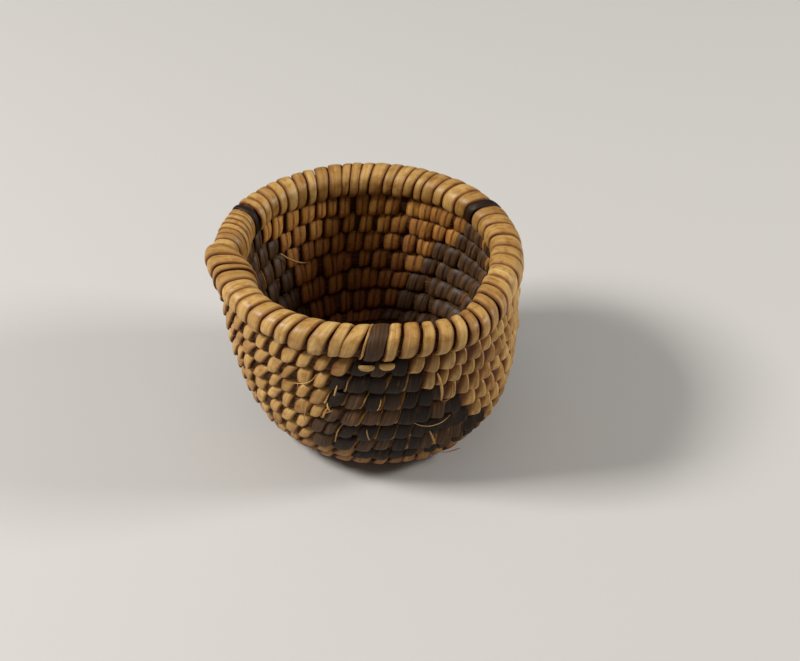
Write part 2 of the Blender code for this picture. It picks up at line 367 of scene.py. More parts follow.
# %% Across the splint
narrow_from = {"inside": 0.6, "outside": 0.45}  # shares of half a turn, where a splint begins to narrow
narrow_over = 0.35
top_reach = {"inside": 0.2, "outside": 0.4}  # how far from the top it is narrower, in the same shares
flat_end_share = 0.6  # a splint that is turned up lies flatter by this share at its lower end
flat_end_from = 0.5
flat_end_over = 0.3
cup_growth = 3  # a third of the way down outside, the edges are turned up as far as they go
tilt_unevenness = 0.1
# painted shade in the pocket of a cupped splint, sloping down from its upper left corner
pocket_shade_middle, pocket_shade_across, pocket_shade_up = 0.95, 0.9, 0.45
raggedness = np.random.default_rng(7)  # its own draws, for the splints' edges


def splint_half_widths(s, widths, shape):
    """Half the splint's width at each step, narrower below and at the top, and how ragged it is there."""
    along_loop = np.abs(s) * loop_end_share
    past = (along_loop - np.where(s > 0, narrow_from["outside"], narrow_from["inside"])) / narrow_over
    below = 1 - (1 - shape["end_width"]) * smooth_step(past)
    near_top = 1 - along_loop / np.where(s > 0, top_reach["outside"], top_reach["inside"])
    above = 1 - (1 - shape["top_width"]) * smooth_step(near_top)
    ragged = shape["ragged"] * raggedness.normal(size=below.shape)
    return widths[:, None] / 2 * below * above * (1 + ragged), ragged


def splint_lift(s, shape, vary):
    """How far each point across the splint is lifted, in thicknesses.

    At v from -1 to 1 across it, that is the crown, less tilt v, and outside plus cup (v^2 - 1/2).
    """
    past = (np.abs(s) * loop_end_share - flat_end_from) / flat_end_over
    flat_end = 1 - flat_end_share * smooth_step(past)
    v, crown = np.array(shape["crown"]).T
    lift = crown - (shape["tilt"] * flat_end + tilt_unevenness * vary[:, 3])[..., None] * v
    return lift + (shape["cup"] * flat_end * smooth_step(s * cup_growth))[..., None] * (v**2 - 0.5)


def splint_shade(s, v, across, up, shape):
    """What the materials read of a place: 1 outside to -1 inside, and how much painted shade it gets.

    The painted shade is |v|, most at the splint's edges where stitches meet, or in a splint that is cupped
    outside a slope down from its upper left corner, as painted shade in its pocket.
    """
    side = np.where(shape["tinted_and_shaded_inside"], across, 1.0)[..., None]
    pocket_shade = np.where(s > 0, shape["pocket_shade"], 0)[..., None]
    shaded = pocket_shade_across * v + pocket_shade_middle + pocket_shade_up * up[..., None]
    return side, (1 - pocket_shade) * np.abs(v) + pocket_shade * shaded


# %% A band of stitches
def stitch_loops(turns, widths, thickness, shape, coils=1):
    """Points of stitches, as an array (stitch, step of the loop, point across, 3), and their patterns.

    Each value of the shape is a number, or a column with one for each stitch. With fan 1 the splint
    spreads like a fan from the mouth's middle.
    """
    vary = random.normal(size=(len(turns), 6))[:, :, None]
    s = np.linspace(-1, 1, shape["steps"])[None]
    middle, distance, offset, across, up, h = loop_line(turns, shape, vary, coils)
    half, ragged = splint_half_widths(s, widths, shape)
    v = np.array(shape["crown"])[:, 0]
    size = np.minimum(1, h / (coil_pitch / 2))[..., None] * thickness
    inset = (splint_lift(s, shape, vary) - 1 - np.abs(ragged)[..., None]) * size
    out_d, out_o = way_out(distance, offset, h * up)
    at_d = distance[..., None] + inset * out_d[..., None]
    at_o = offset[..., None] + inset * out_o[..., None]
    radius = wall_at(at_d, at_o)[0]
    radius += shape["fan"] * (turn_length(turns)[:, None, None] / (2 * math.pi) - radius)
    points = place(middle[..., None] + half[..., None] * v / (2 * math.pi * radius), at_d, at_o)

    steps = np.hypot(np.diff(distance), np.diff(offset))
    path = np.concatenate((np.zeros((len(turns), 1)), np.cumsum(steps, 1)), 1)
    seeds = random.random(len(turns))[:, None, None]
    pattern = together(path[..., None] / mm, half[..., None] * v / mm, seeds)
    return points, pattern, together(*splint_shade(s, v, across, up, shape), seeds)


# %% Faces of loops and tubes
def loop_faces(count, steps, points):
    """Quads that skin closed loops of closed sections, for every stitch at once."""
    n, i, j = np.meshgrid(np.arange(count), np.arange(steps), np.arange(points), indexing="ij")
    base, i2, j2 = n * steps * points, (i + 1) % steps, (j + 1) % points
    corners = (i * points + j, i * points + j2, i2 * points + j2, i2 * points + j)
    return np.stack([base + corner for corner in corners], axis=-1).reshape(-1, 4)


def tube_faces(count, rings, points):
    """Quads that skin tubes, with each end closed by a strip of quads across its ring of points."""
    n, i, j = np.meshgrid(np.arange(count), np.arange(rings - 1), np.arange(points), indexing="ij")
    ring, j2 = (n * rings + i) * points, (j + 1) % points
    sides = [ring + j, ring + j2, ring + points + j2, ring + points + j]
    n, k = np.meshgrid(np.arange(count), np.arange(points // 2 - 1), indexing="ij")
    first, last = n * rings * points, ((n + 1) * rings - 1) * points
    start = [first + k, first + points - 1 - k, first + points - 2 - k, first + k + 1]
    end = [last + k, last + k + 1, last + points - 2 - k, last + points - 1 - k]
    return np.concatenate([np.stack(quads, axis=-1).reshape(-1, 4) for quads in (sides, start, end)])


# %% [markdown]
# ## From arrays to a piece
#
# `foreach_set` hands a whole numpy array to the mesh in one call. The pattern of a splint runs along it,
# so each point also keeps its place on its own splint in millimetres, with a number of its own for each
# stitch. A second attribute says whether the point is outside or inside the basket, and how much painted
# shade it gets at the splint's edges and in the pockets of cupped splints. The materials read both.

# %% A mesh from arrays
def make_piece(name, points, faces, material, pattern, where=None, rounded=0):
    """A mesh object from points and faces, riding on the basket, with its pattern in attributes."""
    points, faces = points.reshape(-1, 3), np.asarray(faces, np.int32)
    mesh = bpy.data.meshes.new(name)
    mesh.vertices.add(len(points))
    mesh.vertices.foreach_set("co", points.astype(np.float32).ravel())
    mesh.loops.add(faces.size)
    mesh.loops.foreach_set("vertex_index", faces.ravel())
    mesh.polygons.add(len(faces))
    mesh.polygons.foreach_set("loop_start", np.arange(0, faces.size, 4, dtype=np.int32))
    mesh.update(calc_edges=True)
    for label, values in (("splint", pattern), ("where", where)):
        if values is not None:
            attribute = mesh.attributes.new(label, "FLOAT_VECTOR", "POINT")
            attribute.data.foreach_set("vector", values.reshape(-1, 3).astype(np.float32).ravel())
    mesh.shade_smooth()
    mesh.validate()
    piece = bpy.data.objects.new(name, mesh)
    bpy.context.scene.collection.objects.link(piece)
    mesh.materials.append(material)
    if rounded:
        surface = piece.modifiers.new("rounded", "SUBSURF")
        surface.levels = surface.render_levels = rounded
    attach(piece, "root")
    return piece


# %% [markdown]
# ## Colours and nodes
#
# Colours are written as sRGB hex, as they are read from a picture, and one function turns them to the
# linear values that the renderer works with. One small function adds a node with its settings and links.

# %% Colour and node helpers
def linear(hex_colour):
    """The linear RGBA of an sRGB hex colour."""
    srgb = np.array([int(hex_colour[i : i + 2], 16) for i in (1, 3, 5)]) / 255
    values = np.where(srgb <= 0.04045, srgb / 12.92, ((srgb + 0.055) / 1.055) ** 2.4)
    return (*values.tolist(), 1.0)


def feed(tree, socket, value):
    """Links a socket to another one, or gives it a value or a hex colour."""
    if isinstance(value, bpy.types.NodeSocket):
        tree.links.new(value, socket)
    else:
        socket.default_value = linear(value) if isinstance(value, str) else value


def node(tree, kind, settings=None, output=0, stops=(), **inputs):
    """Adds a node and gives back one of its output sockets.

    Settings are its own properties, and stops the (position, hex colour) pairs of a ramp. Inputs are values,
    hex colours or sockets to link, by the input's name or by its number after an underscore.
    """
    made = tree.nodes.new("ShaderNode" + kind)
    for key, value in (settings or {}).items():
        setattr(made, key, value)
    for position, colour in stops[1:-1]:
        made.color_ramp.elements.new(position)
    for element, (position, colour) in zip(made.color_ramp.elements if stops else (), stops):
        element.position, element.color = position, linear(colour)
    for key, value in inputs.items():
        feed(tree, made.inputs[int(key[1:]) if key[1:].isdigit() else key], value)
    return made.outputs[output]


def new_material(name):
    """A material with its node tree and its shader."""
    made = bpy.data.materials.new(name)
    made.use_nodes = True
    return made, made.node_tree, made.node_tree.nodes["Principled BSDF"]


# %% [markdown]
# ## Split plant splints
#
# The light splints are split shoots with the bark off. Their outer face is satin, with fine fibres along
# the splint, and it has yellowed unevenly, so each stitch has its own tone. The dark ones come from a
# black plant fibre. Its outer skin has worn off on some stitches, and shows brown below. Fibres are about
# 0.08 mm apart. Both read the splint's own attribute, so the fibres follow every bend.
#
# Inside the basket the splints have split along their middle and are more orange. Far down inside they
# are darker as painted shade, and low on the outside they darken towards the base, partly as dirt from
# handling and partly as painted shade. Painted shade also darkens the splints' edges, where stitches meet,
# and the pockets of cupped splints. Those tints multiply the colour one after another.

# %% What the patterns read
fibre_spacing = 0.08  # in millimetres, as the attribute is
fibre_length = 1.6
number_spread = 87.3  # takes each stitch to its own part of the noise
multiply = {"operation": "MULTIPLY"}


def splint_pattern(tree):
    """Sockets from 0 to 1 of the splint's fibres and spots, which are noise, and of its own number."""
    on_splint = node(tree, "Attribute", {"attribute_name": "splint"}, "Vector")
    fibre_scale = (1 / fibre_length, 1 / fibre_spacing, number_spread)
    stretched = node(tree, "VectorMath", multiply, _0=on_splint, _1=fibre_scale)
    own_part = node(tree, "VectorMath", multiply, _0=on_splint, _1=(1, 1, number_spread))
    fibres = node(tree, "TexNoise", Vector=stretched, Scale=0.5, Detail=3.0, Roughness=0.6)
    spots = node(tree, "TexNoise", Vector=own_part, Scale=1.3, Detail=4.0, Roughness=0.6)
    number = node(tree, "SeparateXYZ", output="Z", Vector=on_splint)
    return {"fibres": fibres, "spots": spots, "number": number}


def splint_place(tree, spots):
    """Sockets from 0 to 1: inside, painted shade at edges, in pockets and far down inside, low (dirt and
    shade), split.
    """
    where = node(tree, "Attribute", {"attribute_name": "where"}, "Vector")
    side, edge = (node(tree, "SeparateXYZ", output=axis, Vector=where) for axis in "XY")
    height = node(tree, "SeparateXYZ", output="Z", Vector=node(tree, "TexCoord", output="Object"))
    spans = {  # what is read, and its values at 0 and at 1
        "inside": (side, 0.3, -0.3),
        # painted shade at a splint's edges, where stitches meet; the edges are also rougher
        "edge": (edge, 0.6, 0.95),
        # painted shade in the pockets of cupped splints
        "pocket_shade": (edge, 0.95, 1.35),
        "middle": (edge, 0.22, 0.06),
        "parted": (spots, 0.3, 0.55),
        # darker towards the base outside: partly dirt from handling, partly painted shade
        "low": (height, 5.5 * mm, 0.5 * mm),
        # painted shade far down inside the basket
        "deep_shade": (height, 13 * mm, 4 * mm),
    }
    found = {}
    for name, (read, at_0, at_1) in spans.items():
        found[name] = node(tree, "MapRange", _0=read, _1=at_0, _2=at_1)
    outside = node(tree, "Math", {"operation": "SUBTRACT"}, _0=1.0, _1=found["inside"])
    split = node(tree, "Math", multiply, _0=found["middle"], _1=found["inside"])
    found["split"] = node(tree, "Math", multiply, _0=split, _1=found["parted"])
    found["low"] = node(tree, "Math", multiply, _0=found["low"], _1=outside)
    found["deep_shade"] = node(tree, "Math", multiply, _0=found["inside"], _1=found["deep_shade"])
    return found


# %% Tints and finish
def tinted(tree, colour, tints):
    """The colour, multiplied by each tint in turn by the tint's own factor."""
    settings = {"data_type": "RGBA", "blend_type": "MULTIPLY"}
    for factor, tint in tints:
        colour = node(tree, "Mix", settings, output=2, _0=factor, _6=colour, _7=tint)
    return colour


def finish(tree, shader, colour, roughness, specular, fibres, fibre_depth):
    """Gives the shader its colour, roughness and shine, and raises the fibres by a depth in metres."""
    raised = node(tree, "Bump", Height=fibres, Strength=1.0, Distance=fibre_depth)
    inputs = {"Base Color": colour, "Roughness": roughness, "Specular IOR Level": specular, "Normal": raised}
    for name, value in inputs.items():
        feed(tree, shader.inputs[name], value)


# %% Light splint
def light_splint():
    """Satin tan, each stitch in its own tone, more orange inside the basket, with painted shade at the edges.
    """
    material, tree, shader = new_material("light_splint")
    fibres, spots, number = splint_pattern(tree).values()
    at = splint_place(tree, spots)
    tan = ((0.25, "#ad884e"), (0.45, "#c29d5e"), (0.62, "#d2af70"), (0.85, "#e6ca91"))
    tones = ((0.0, "#c4ac86"), (0.35, "#e4d6bc"), (0.7, "#f8f0e0"), (1.0, "#ffffff"))
    yellowed = ((0.35, "#c4a074"), (0.52, "#f6eedf"), (0.75, "#ffffff"))
    colour = tinted(tree, node(tree, "ValToRGB", stops=tan, _0=fibres), (
        (0.8, node(tree, "ValToRGB", stops=tones, _0=number)),
        (0.7, node(tree, "ValToRGB", stops=yellowed, _0=spots)),
        # painted shade at the edges
        (at["edge"], "#ba9c6c"),
        # painted shade in the pockets
        (at["pocket_shade"], "#a5845a"),
        (at["inside"], "#ffe9b8"),
        # partly dirt and partly painted shade, towards the base
        (at["low"], "#c6a878"),
        # painted shade far down inside
        (at["deep_shade"], "#b2946c"),
        (at["split"], "#9a7648"),
    ))
    satin = node(tree, "MapRange", _0=spots, _1=0.3, _2=0.7, _3=0.36, _4=0.55)
    dull = node(tree, "Math", {"operation": "MAXIMUM"}, _0=at["edge"], _1=at["inside"])
    roughness = node(tree, "Mix", {"data_type": "FLOAT"}, _0=dull, _2=satin, _3=0.8)
    finish(tree, shader, colour, roughness, 0.42, fibres, 0.01 * mm)
    return material


# %% Dark splint
def dark_splint():
    """Near black; some stitches are rubbed brown, and more of them inside the basket."""
    material, tree, shader = new_material("dark_splint")
    fibres, spots, number = splint_pattern(tree).values()
    at = splint_place(tree, spots)
    skin = ((0.3, "#180d04"), (0.55, "#261607"), (0.8, "#3d260e"))
    worn = ((0.3, "#472f18"), (0.55, "#67482a"), (0.8, "#8b6840"))
    skin, worn = (node(tree, "ValToRGB", stops=stops, _0=fibres) for stops in (skin, worn))
    is_worn = node(tree, "MapRange", _0=number, _1=0.66, _2=0.95, _3=0.0, _4=0.85)
    rubbed = node(tree, "MapRange", _0=spots, _1=0.56, _2=0.7, _3=0.0, _4=0.6)
    streaks = node(tree, "MapRange", _0=fibres, _1=0.5, _2=0.62, _3=0.0, _4=1.0)
    flaked = node(tree, "Math", multiply, _0=rubbed, _1=streaks)
    browned = node(tree, "Math", multiply, _0=at["inside"], _1=spots)
    wear = is_worn
    for kind_of_wear in (flaked, browned):
        wear = node(tree, "Math", {"operation": "MAXIMUM"}, _0=wear, _1=kind_of_wear)
    colour = node(tree, "Mix", {"data_type": "RGBA"}, output=2, _0=wear, _6=skin, _7=worn)
    colour = tinted(tree, colour, [(at["split"], "#8a6238")])
    roughness = node(tree, "MapRange", _0=spots, _1=0.3, _2=0.7, _3=0.45, _4=0.68)
    finish(tree, shader, colour, roughness, 0.26, fibres, 0.03 * mm)
    return material


splint = {"light": light_splint(), "dark": dark_splint()}
print("materials:", *(material.name for material in splint.values()))

# %% [markdown]
# ## The foundation
#
# The bundle is a dozen fine grass stems laid side by side, which show only as brown lines between the
# stitches. Their dark brown is partly the stems' own colour and partly painted shade in those grooves. A
# tube whose section is a ring of round bumps gives them, and the bumps turn slowly along the coil because
# the stems are twisted a little as they are fed in. Each coil's bundle touches the next, so no light comes
# through the wall. In the rim nothing lies on it, and it is lower than the splints round it.

# %% The bundle of stems
stems_in_bundle = 12
stem_roundness = 0.07
bundle_twist = 0.7  # turns of the bundle in one turn of the coil
bundle_points = stems_in_bundle * 3
bundle_steps_in_turn = 60
bundle_radius = 0.7  # in millimetres, for the pattern round it
bundle_width_share = 0.64
bundle_height_share = 1.02
rim_bundle_top_share = 0.56
bundle_taper = 0.05  # of a turn, in which it starts from a point
bundle_trim = (0.01, 0.004)  # parts of a turn by which it is shorter than the coil at its two ends


def grass_stems():
    """Dried grass stems, left whole: matt, with fine lines along them, and a dark brown that is partly their
    own and partly painted shade in the grooves.
    """
    material, tree, shader = new_material("grass_stems")
    fibres = splint_pattern(tree)["fibres"]
    # brown, partly the stems' own and partly painted shade in the grooves between stitches
    brown = ((0.3, "#2b1507"), (0.55, "#4d2f15"), (0.8, "#7d5730"))
    colour = node(tree, "ValToRGB", stops=brown, _0=fibres)
    finish(tree, shader, colour, 0.75, 0.2, fibres, 0.015 * mm)
    return material


def foundation():
    """The bundle: at each turn a ring of points, with one round bump for each stem.

    At an angle round it the radius is 1 + roundness |sin(stems angle / 2 + twist)|.
    """
    steps = int((tail_end - first_turn) * bundle_steps_in_turn)
    turns = np.linspace(first_turn + bundle_trim[0], tail_end - bundle_trim[1], steps)
    around = np.linspace(0, 2 * math.pi, bundle_points, endpoint=False)
    twist = math.pi * turns[:, None] * bundle_twist
    ripple = 1 + stem_roundness * np.abs(np.sin(stems_in_bundle * around / 2 + twist))
    ripple = ripple * np.sqrt(np.clip((turns - turns[0]) / bundle_taper, 0.02, 1))[:, None]
    is_free = smooth_step((turns - (tail_end - 1)) / step_up_share)  # where the coil's end isn't over it
    top = bundle_height_share + (rim_bundle_top_share - bundle_height_share) * is_free
    centre, h, w = (values[:, None] for values in coil_section(turns))
    up = h * np.where(np.sin(around) > 0, top[:, None], bundle_height_share) * ripple * np.sin(around)
    points = place(turns[:, None], centre + up, w * bundle_width_share * ripple * np.cos(around))
    length = np.cumsum(turn_length(turns)) / bundle_steps_in_turn / mm
    pattern = together(length[:, None], around * bundle_radius, 0.5)
    faces = tube_faces(1, len(turns), bundle_points)
    return make_piece("stem_bundle", points, faces, grass_stems(), pattern)


stem_bundle = foundation()
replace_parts(stem_bundle, "foundation_coil")
print(f"stem bundle: {len(stem_bundle.data.polygons)} faces")

# %% [markdown]
# ## The dark figures
#
# Each figure is a tick on the rim with a stepped triangle below it that widens to the base. The packed
# nodes already hold its rows, and a strand's node gives the turns where it starts and ends, so the same
# shares of a turn are used here, row by row from the rim.

# %% Rows of the figures
figure_azimuths = {"left": 151.6, "right": 31, "front": 275}  # in degrees
figure_right_shares = (0.025, 0.042, 0.067, 0.080, 0.100, 0.123, 0.130)
figure_left_shares = (0.036, 0.056, 0.061, 0.072, 0.083, 0.086, 0.050)
side_before_figure = {"left": "left", "right": "back", "front": "right"}
rows_in_wall = len(figure_right_shares)


def share_at(azimuth):
    """The share of a turn at which the coil passes an azimuth in degrees."""
    return (math.degrees(coil_end_azimuth) - azimuth) / 360 % 1


def figure_turns():
    """Name and share of a turn of each figure, in the order in which the coil meets them."""
    shares = {name: share_at(azimuth) for name, azimuth in figure_azimuths.items()}
    return sorted(shares.items(), key=lambda item: item[1])


def wall_strands():
    """(node, start turn, end turn, is dark) of every strand below the rim, in the order they were sewn."""
    strands = [(f"base_strand_{n + 1}", max(n, first_turn), n + 1, False) for n in range(turns_in_base)]
    done, light_name = turns_in_base, "base_edge_strand"
    for row in range(rows_in_wall, 0, -1):
        for name, share in figure_turns():
            tick = turns_below_rim - row + share
            start, end = tick - figure_right_shares[row - 1], tick + figure_left_shares[row - 1]
            light_name = light_name or f"light_strand_row_{row}_{side_before_figure[name]}"
            strands.append((light_name, done, start, False))
            strands.append((f"dark_strand_row_{row}_{name}", start, end, True))
            done, light_name = end, None
    strands.append(("light_strand_row_1_end", done, turns_below_rim, False))
    return strands


print(f"strands below the rim: {len(wall_strands())}")

# %% [markdown]
# ## Sewing the wall
#
# Each strand takes the stitches whose places lie between its two ends. A stitch is as wide as the room
# between its neighbours; the light ones leave a little of it as a groove, and the dark ones fill it. The
# hand sewed unevenly: on the left the stitches slant and narrow to a point, and on the right they stand
# square with their edges turned up. A table by azimuth says so, and every stitch is read from it.

# %% The shape of the wall's stitches
wall_shape = {
    "crown": [(-1.25, 0.1), (-0.7, 1.1), (0.0, 1.12), (0.7, 1.1), (1.25, 0.1), (0.0, -0.6)],
    "steps": 12, "top_corner": 2.5, "bottom_corner": 3.6, "rise": 0.12, "dip": 0.0,
    "ragged": 0.05, "uneven_lean": 0.25, "top_width": 0.85, "lean_centre": 0.5, "inner_lean": 0.9,
    # inner faces take the inside tints: more orange, split, and painted shade far down inside
    "fan": 0.0, "tinted_and_shaded_inside": True,
}
hand_azimuths = (0, 90, 180, 245, 285, 310, 335, 360)
hand = {
    "lean": (0.3, 0.7, 1.1, 1.5, 0.75, 0.3, 0.28, 0.3),
    "cup": (0.6, 0.3, 0.0, 0.1, 0.9, 1.2, 0.9, 0.6),
    "tilt": (0.5, 0.4, 0.25, 0.25, 0.7, 1.1, 0.7, 0.5),
    "shingle": (0.1, 0.1, 0.1, 0.1, 0.2, 0.2, 0.12, 0.1),
    "end_width": (0.85, 0.75, 0.55, 0.55, 0.7, 0.82, 0.85, 0.85),
    # how much painted shade the pockets of cupped splints get, by azimuth
    "pocket_shade": (0.3, 0.0, 0.0, 0.0, 0.5, 1.0, 0.9, 0.3),
}
special_turns = {  # the base's last coil stands out below the wall, and the lowest row ends above it
    turns_in_base: {"rise": 0.4, "shingle": -0.2, "tilt": 0.1, "cup": 0.0, "pocket_shade": 0.0},
    turns_in_base + 1: {"dip": -0.75, "tilt": 0.3, "cup": 0.3},
}


def wall_shape_at(turns):
    """The shape of the stitches at these turns, by azimuth; towards the base's middle they lean less."""
    read = {key: by_azimuth(turns, hand_azimuths, values)[:, None] for key, values in hand.items()}
    shape = wall_shape | read
    shape["lean"] = shape["lean"] * np.minimum(1, turns / turns_in_base)[:, None]
    for turn, special in special_turns.items():
        chosen = ((turns >= turn) & (turns < turn + 1))[:, None]
        shape |= {key: np.where(chosen, value, shape[key]) for key, value in special.items()}
    return shape


print(f"lean of the wall's stitches: {min(hand['lean'])} to {max(hand['lean'])} mm")

# %% The wall's strands
cover_shares = {"light": 0.95, "dark": 1.0}
foot_cover_share = 1.08
splint_thickness = 0.3 * mm
width_unevenness = 0.1


def room(turns):
    """The room of each stitch along the coil: half the distance between its two neighbours."""
    return np.gradient(turns) * turn_length(turns)


wall_widths = room(wall_turns) * (1 + width_unevenness * random.normal(size=len(wall_turns)))


def make_stitches(name, loops, kind="light", rounded=1):
    """A piece of stitches from what stitch_loops gives."""
    points, pattern, where = loops
    faces = loop_faces(*points.shape[:3])
    return make_piece(name, points, faces, splint[kind], pattern, where, rounded)


def sew(node_name, start, end, is_dark):
    """One strand of the wall, in place of its node. Gives back how many stitches it has."""
    kind = "dark" if is_dark else "light"
    chosen = (wall_turns >= start) & (wall_turns < end)
    turns = wall_turns[chosen]
    is_foot = (turns > turns_in_base) & (turns < turns_in_base + 1)
    widths = wall_widths[chosen] * np.where(is_foot, foot_cover_share, cover_shares[kind])
    loops = stitch_loops(turns, widths, splint_thickness, wall_shape_at(turns))
    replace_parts(make_stitches(node_name.replace("strand", "stitches"), loops, kind), node_name)
    return len(turns)


sewn = [sew(*strand) for strand in wall_strands()]
print(f"wall: {len(sewn)} strands, {sum(sewn)} stitches")

# %% [markdown]
# ## Binding the rim
#
# The last coil is half as thick again, and nothing covers its stitches, so they show as wide satin bands
# right over the top. Their ends go through the row below. Where the coil ends, thin stitches go round it
# and the coil below. The lean of the bands and how much of the rim they cover were not the same all round
# either.

# %% The shape of the rim's stitches
rim_splint_thickness = 0.27 * mm
rim_cover_shares = (0, 200, 265, 285, 315, 340, 360), (0.94, 0.94, 0.88, 0.8, 0.8, 0.92, 0.94)
rim_leans = (  # in millimetres
    (0, 20, 90, 135, 180, 215, 235, 268, 277, 283, 295, 305, 330, 360),
    (1.0, 1.0, 0.8, 0.6, 0.45, 0.6, 1.1, 1.2, 0.8, 0.9, 1.0, 0.75, 0.85, 1.0),
)
rim_shape = {
    "crown": [
        (-1.08, 0.1), (-0.98, 0.8), (-0.5, 1.05), (0.5, 1.1),
        (0.98, 0.85), (1.08, 0.1), (0.5, -0.4), (-0.5, -0.4),
    ],
    "steps": 16, "top_corner": 2.5, "bottom_corner": 2.5, "rise": 0.0, "dip": 0.03, "shingle": 0.02,
    "top_width": 1.0, "end_width": 0.8, "lean_centre": 0.0, "inner_lean": 1.0, "tilt": 0.08, "cup": 0.0,
    "fan": 0.85, "ragged": 0.015, "uneven_lean": 0.1, "pocket_shade": 0.0, "tinted_and_shaded_inside": False,
}


def bind(node_name, turns, rooms, kind="light", coils=1, wear=None):
    """One strand of the rim, in place of its node, with each stitch's place and room in turns."""
    widths = by_azimuth(turns, *rim_cover_shares) * rooms * turn_length(turns)
    shape = rim_shape | {"lean": by_azimuth(turns, *rim_leans)[:, None]}
    loops = stitch_loops(turns, widths, rim_splint_thickness, shape, coils)
    if wear is not None:
        loops[1][..., 2] = wear
    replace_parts(make_stitches(node_name.replace("strand", "stitches"), loops, kind, rounded=2), node_name)
    return len(turns)


# %% The rim's strands
ticks = {"left": (0.65, 0.3), "right": (0.8, 0.2), "front": (1.13, 0.8)}  # width in stitches, and wear
half_stitch = 0.5 / stitches_in_rim  # in turns, as the next five are
end_gap = 0.006
tick_gap = 0.0015
two_coil_room = 1.15 * half_stitch
thin_stitch_room = 0.4 * half_stitch
finishing_start = 0.3 * half_stitch
two_coil_stitches = 6


def rim_strands():
    """Arguments of bind for each strand: between the ticks, the ticks, and last the coil's end."""
    blunt_end = turns_below_rim + blunt_end_share
    done, strands = turns_below_rim, []
    for name, share in figure_turns():
        tick = turns_below_rim + share
        strand = {"node_name": f"rim_strand_{side_before_figure[name]}"}
        if done == turns_below_rim:
            turns = np.linspace(blunt_end + end_gap, tick - half_stitch - tick_gap, two_coil_stitches)
            strand |= {"turns": turns, "rooms": np.full(two_coil_stitches, two_coil_room), "coils": 2}
        else:
            strand["turns"], strand["rooms"] = rim_stitches(done, tick - half_stitch)
        width, wear = ticks[name]
        dark_stitch = {
            "node_name": f"rim_dark_stitch_{name}", "turns": np.array([tick]),
            "rooms": np.array([width * 2 * half_stitch * rim_spread(tick)]), "kind": "dark", "wear": wear,
        }
        strands += [strand, dark_stitch]
        done = tick + half_stitch
    turns, rooms = rim_stitches(done + finishing_start, turns_below_rim + 1 + blunt_end_share)
    turns, rooms = np.append(done + thin_stitch_room / 2, turns), np.append(thin_stitch_room, rooms)
    return [*strands, {"node_name": "rim_finishing_strand", "turns": turns, "rooms": rooms}]


print(f"rim: {sum(bind(**strand) for strand in rim_strands())} stitches")

# %% [markdown]
# ## Slivers and loose fibres
#
# Where a dark splint is at work, the light one runs along inside the coil, and thin slivers of it show in
# the grooves between the dark stitches. Just below the rim it even passes over them twice. Here and there a
# fibre has come loose. A sliver is a very narrow stitch, and it goes into the groove nearest to where it
# lies. Everything else is a thread: a cubic curve on the wall, with a ring of four points at each step.

# %% Slivers between the dark stitches
sliver_thickness = 0.23 * mm
sliver_shingles = (-0.05, 0.2)
sliver_shade_tone = 0.4  # darker tones of the light splints, as painted shade in their grooves, and painted shade as near an edge
sliver_edge_shade = 0.7  # and a little brown, as near an edge
sliver_raggedness = 0.4
slivers = [  # row counted down from the rim, azimuth in degrees and width in millimetres
    (2, 259.6, 0.2), (2, 272.6, 0.26), (2, 281, 0.34), (3, 262.2, 0.16), (3, 266.2, 0.26), (3, 272.2, 0.24),
    (3, 279.7, 0.46), (3, 254.5, 0.3), (4, 266.2, 0.3), (4, 272.7, 0.18), (4, 280.7, 0.3), (4, 252.5, 0.28),
    (5, 254.8, 0.26), (5, 280.3, 0.2), (5, 285.3, 0.26), (5, 268, 0.16), (6, 279.8, 0.44), (6, 292.9, 0.34),
    (6, 298.4, 0.24), (6, 262, 0.2), (4, 20, 0.24), (3, 27, 0.3), (5, 36, 0.24), (3, 150, 0.24),
    (5, 160, 0.26), (1, 25.6, 0.5), (2, 23.6, 0.5),
]


def light_slivers():
    """The slivers, each as a stitch in the groove that is nearest to its place in the table."""
    rows, azimuths, widths = np.array(slivers).T
    grooves = (wall_turns[1:] + wall_turns[:-1]) / 2
    away = np.abs(grooves - (turns_below_rim - rows + share_at(azimuths))[:, None])
    turns = grooves[np.argmin(away, axis=1)]
    shingle = random.uniform(*sliver_shingles, len(turns))[:, None]
    shape = wall_shape_at(turns) | {"shingle": shingle, "ragged": sliver_raggedness}
    points, pattern, where = stitch_loops(turns, widths * mm, sliver_thickness, shape)
    # painted shade: the slivers lie in shaded grooves, so they take darker tones and edge shade
    pattern[..., 2] *= sliver_shade_tone
    where[..., 1] = sliver_edge_shade
    make_stitches("light_slivers", (points, pattern, where))
    return len(turns)


print(f"slivers: {light_slivers()}")

# %% Threads on the wall
def unit(vectors):
    """The vectors, each divided by its length."""
    return vectors / np.linalg.norm(vectors, axis=-1, keepdims=True)


